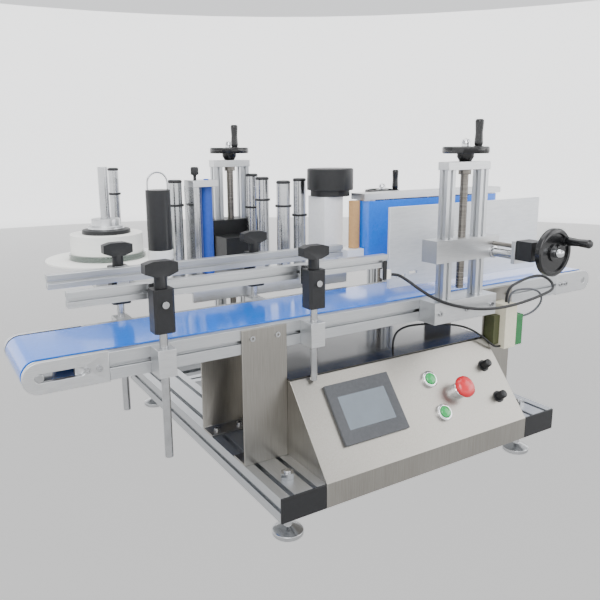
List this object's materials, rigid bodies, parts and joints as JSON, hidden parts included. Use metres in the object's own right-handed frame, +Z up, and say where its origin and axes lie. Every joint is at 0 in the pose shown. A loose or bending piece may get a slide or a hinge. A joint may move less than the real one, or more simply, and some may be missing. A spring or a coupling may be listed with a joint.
{
  "type": "desktop bottle labelling machine",
  "caption": "Desktop labelling machine for round bottles: slotted-extrusion base, sloping control box, belt conveyor with side guides, lifted label head, wrap belt and handwheel press plate.",
  "frame": {"origin": "on the bench plane under the feet, centred over the whole machine", "axes": "+X along the conveyor from its idler end to its driven end, +Y away from the operator, +Z up"},
  "size_m": [1.1798, 0.813, 0.64],
  "materials": {
    "alu_extrusion": "clear anodised",
    "alu_plate": "machined and anodised",
    "black_cap": "moulded",
    "steel_foot": "plated",
    "steel_fastener": "plated",
    "stainless_sheet": "brushed",
    "black_lid": "gloss coated",
    "panel_grey": "moulded",
    "screen": "gloss",
    "chrome_ring": "polished",
    "stainless_bar": "polished",
    "blue_belt": "smooth glossy",
    "roller_steel": "ground",
    "amplifier_plastic": "moulded",
    "cable_grey": "smooth",
    "black_plastic": "moulded",
    "white_plastic": "moulded",
    "green_lens": "gloss",
    "red_lens": "gloss",
    "black_coat": "satin black",
    "wheel_black": "moulded",
    "label_paper": "coated paper",
    "blue_roller": "smooth",
    "tan_roller": "ground",
    "press_sheet": "satin"
  },
  "bodies": {
    "base": {"base_rails": "alu_extrusion", "rail_end_caps": "black_cap", "cross_members": "alu_extrusion", "levelling_feet": "steel_foot", "frame_fasteners": "steel_fastener", "control_box": "stainless_sheet", "control_box_lid": "black_lid", "hmi_bezel": "panel_grey", "hmi_screen": "screen", "panel_bezels": "chrome_ring", "conveyor_brackets": "stainless_sheet", "conveyor_rails": "alu_extrusion", "slider_bed": "stainless_sheet", "conveyor_end_plates": "alu_plate", "conveyor_belt": "blue_belt", "rod_holders": "alu_plate", "lift_columns": "alu_extrusion", "column_plates": "alu_plate", "amplifier_boxes": "amplifier_plastic", "sensor_cable": "cable_grey", "loop_cable": "cable_grey", "under_cable": "cable_grey"},
    "drive_roller": {"drive_roller": "roller_steel"},
    "idler_roller": {"idler_roller": "roller_steel"},
    "front_guide_lift": {"front_guide_posts": "stainless_bar", "front_clamp_blocks": "alu_plate"},
    "front_guide_reach": {"front_guide_rail": "alu_extrusion", "bottle_sensor": "white_plastic"},
    "front_knob_left": {"front_knob_left": "black_plastic"},
    "front_knob_right": {"front_knob_right": "black_plastic"},
    "rear_guide_lift": {"rear_guide_posts": "stainless_bar", "rear_clamp_blocks": "alu_plate"},
    "rear_guide_reach": {"rear_guide_rail": "alu_extrusion"},
    "rear_knob_left": {"rear_knob_left": "black_plastic"},
    "rear_knob_right": {"rear_knob_right": "black_plastic"},
    "start_button": {"start_button": "green_lens"},
    "reset_button": {"reset_button": "green_lens"},
    "e_stop_button": {"e_stop_button": "red_lens"},
    "speed_knob": {"speed_knob": "black_plastic"},
    "delay_knob": {"delay_knob": "black_plastic"},
    "press_lift": {"press_carriage": "alu_plate"},
    "press_lift_wheel": {"press_lift_wheel": "wheel_black"},
    "press_reach": {"press_slide": "stainless_bar", "position_indicator": "black_plastic", "press_plate": "press_sheet"},
    "press_reach_wheel": {"press_reach_wheel": "wheel_black"},
    "head_lift": {"head_carriage": "black_coat", "head_plate": "alu_plate", "guide_posts": "stainless_bar", "post_collars": "black_plastic", "traction_frame": "stainless_bar"},
    "head_lift_wheel": {"head_lift_wheel": "wheel_black"},
    "label_reel": {"label_reel": "label_paper"},
    "rewind_drum": {"rewind_drum": "black_plastic"},
    "traction_roller": {"traction_roller": "blue_roller"},
    "wrap_lift": {"wrap_frame": "alu_plate", "wrap_belt": "blue_belt", "wrap_motor": "black_coat"},
    "wrap_roller": {"wrap_roller": "tan_roller"},
    "wrap_lift_wheel": {"wrap_lift_wheel": "wheel_black"}
  },
  "joints": [
    {"name": "drive_roller_spin", "type": "hinge", "parent": "base", "child": "drive_roller", "pos_m": [0.568, -0.1075, 0.3026], "axis": [0, 1, 0], "continuous": true},
    {"name": "idler_roller_spin", "type": "hinge", "parent": "base", "child": "idler_roller", "pos_m": [-0.568, -0.1075, 0.3026], "axis": [0, 1, 0], "continuous": true},
    {"name": "front_guide_height", "type": "slide", "parent": "base", "child": "front_guide_lift", "axis": [0, 0, 1], "range_m": [0, 0.05]},
    {"name": "front_guide_reach", "type": "slide", "parent": "front_guide_lift", "child": "front_guide_reach", "axis": [0, 1, 0], "range_m": [-0.007, 0.015]},
    {"name": "front_knob_left_turn", "type": "hinge", "parent": "front_guide_lift", "child": "front_knob_left", "pos_m": [-0.406, -0.2075, 0.408], "axis": [0, 0, 1], "range_deg": [-180, 180]},
    {"name": "front_knob_right_turn", "type": "hinge", "parent": "front_guide_lift", "child": "front_knob_right", "pos_m": [-0.156, -0.2075, 0.408], "axis": [0, 0, 1], "range_deg": [-180, 180]},
    {"name": "rear_guide_height", "type": "slide", "parent": "base", "child": "rear_guide_lift", "axis": [0, 0, 1], "range_m": [-0.01, 0.035]},
    {"name": "rear_guide_reach", "type": "slide", "parent": "rear_guide_lift", "child": "rear_guide_reach", "axis": [0, 1, 0], "range_m": [-0.015, 0.006]},
    {"name": "rear_knob_left_turn", "type": "hinge", "parent": "rear_guide_lift", "child": "rear_knob_left", "pos_m": [-0.406, -0.0075, 0.408], "axis": [0, 0, 1], "range_deg": [-180, 180]},
    {"name": "rear_knob_right_turn", "type": "hinge", "parent": "rear_guide_lift", "child": "rear_knob_right", "pos_m": [-0.156, -0.0075, 0.408], "axis": [0, 0, 1], "range_deg": [-180, 180]},
    {"name": "start_button_press", "type": "slide", "parent": "base", "child": "start_button", "axis": [0, 0.7721, -0.6355], "range_m": [0, 0.0035], "stiffness_N_per_m": 500},
    {"name": "reset_button_press", "type": "slide", "parent": "base", "child": "reset_button", "axis": [0, 0.7721, -0.6355], "range_m": [0, 0.0035], "stiffness_N_per_m": 500},
    {"name": "e_stop_press", "type": "slide", "parent": "base", "child": "e_stop_button", "axis": [0, 0.7721, -0.6355], "range_m": [0, 0.004]},
    {"name": "speed_knob_turn", "type": "hinge", "parent": "base", "child": "speed_knob", "pos_m": [0.214, -0.23242, 0.18479], "axis": [0, -0.7721, 0.6355], "range_deg": [-150, 150]},
    {"name": "delay_knob_turn", "type": "hinge", "parent": "base", "child": "delay_knob", "pos_m": [0.214, -0.27245, 0.13615], "axis": [0, -0.7721, 0.6355], "range_deg": [-150, 150]},
    {"name": "press_height", "type": "slide", "parent": "base", "child": "press_lift", "axis": [0, 0, 1], "range_m": [-0.004, 0.09]},
    {"name": "press_height_wheel", "type": "hinge", "parent": "base", "child": "press_lift_wheel", "pos_m": [0.165, -0.208, 0.568], "axis": [0, 0, 1], "range_deg": [-8101, 361]},
    {"name": "press_reach", "type": "slide", "parent": "press_lift", "child": "press_reach", "axis": [0, 1, 0], "range_m": [-0.05, 0.04]},
    {"name": "press_reach_wheel", "type": "hinge", "parent": "press_reach", "child": "press_reach_wheel", "pos_m": [0.229, -0.3345, 0.419], "axis": [0, 1, 0], "range_deg": [-4501, 3601]},
    {"name": "head_height", "type": "slide", "parent": "base", "child": "head_lift", "axis": [0, 0, 1], "range_m": [-0.06, 0.004]},
    {"name": "head_height_wheel", "type": "hinge", "parent": "base", "child": "head_lift_wheel", "pos_m": [-0.088, 0.2245, 0.568], "axis": [0, 0, 1], "range_deg": [-361, 5401]},
    {"name": "label_reel_spin", "type": "hinge", "parent": "head_lift", "child": "label_reel", "pos_m": [-0.372, 0.1745, 0.39], "axis": [0, 0, 1], "continuous": true},
    {"name": "rewind_drum_spin", "type": "hinge", "parent": "head_lift", "child": "rewind_drum", "pos_m": [-0.316, 0.0395, 0.42], "axis": [0, 0, 1], "continuous": true},
    {"name": "traction_roller_spin", "type": "hinge", "parent": "head_lift", "child": "traction_roller", "pos_m": [-0.192, 0.1145, 0.436], "axis": [0, 0, 1], "continuous": true},
    {"name": "wrap_height", "type": "slide", "parent": "base", "child": "wrap_lift", "axis": [0, 0, 1], "range_m": [-0.004, 0.04]},
    {"name": "wrap_height_wheel", "type": "hinge", "parent": "base", "child": "wrap_lift_wheel", "pos_m": [0.286, 0.1695, 0.468], "axis": [0, 0, 1], "range_deg": [-3601, 361]},
    {"name": "wrap_roller_spin", "type": "hinge", "parent": "wrap_lift", "child": "wrap_roller", "pos_m": [0.061, -0.0215, 0.436], "axis": [0, 0, 1], "continuous": true}
  ],
  "couplings": [
    {"joint": "idler_roller_spin", "follows": "drive_roller_spin", "ratio": 1},
    {"joint": "press_height_wheel", "follows": "press_height", "rad_per_m": -1570.8},
    {"joint": "press_reach_wheel", "follows": "press_reach", "rad_per_m": 1570.8},
    {"joint": "head_height_wheel", "follows": "head_height", "rad_per_m": -1570.8},
    {"joint": "wrap_height_wheel", "follows": "wrap_height", "rad_per_m": -1570.8}
  ]
}
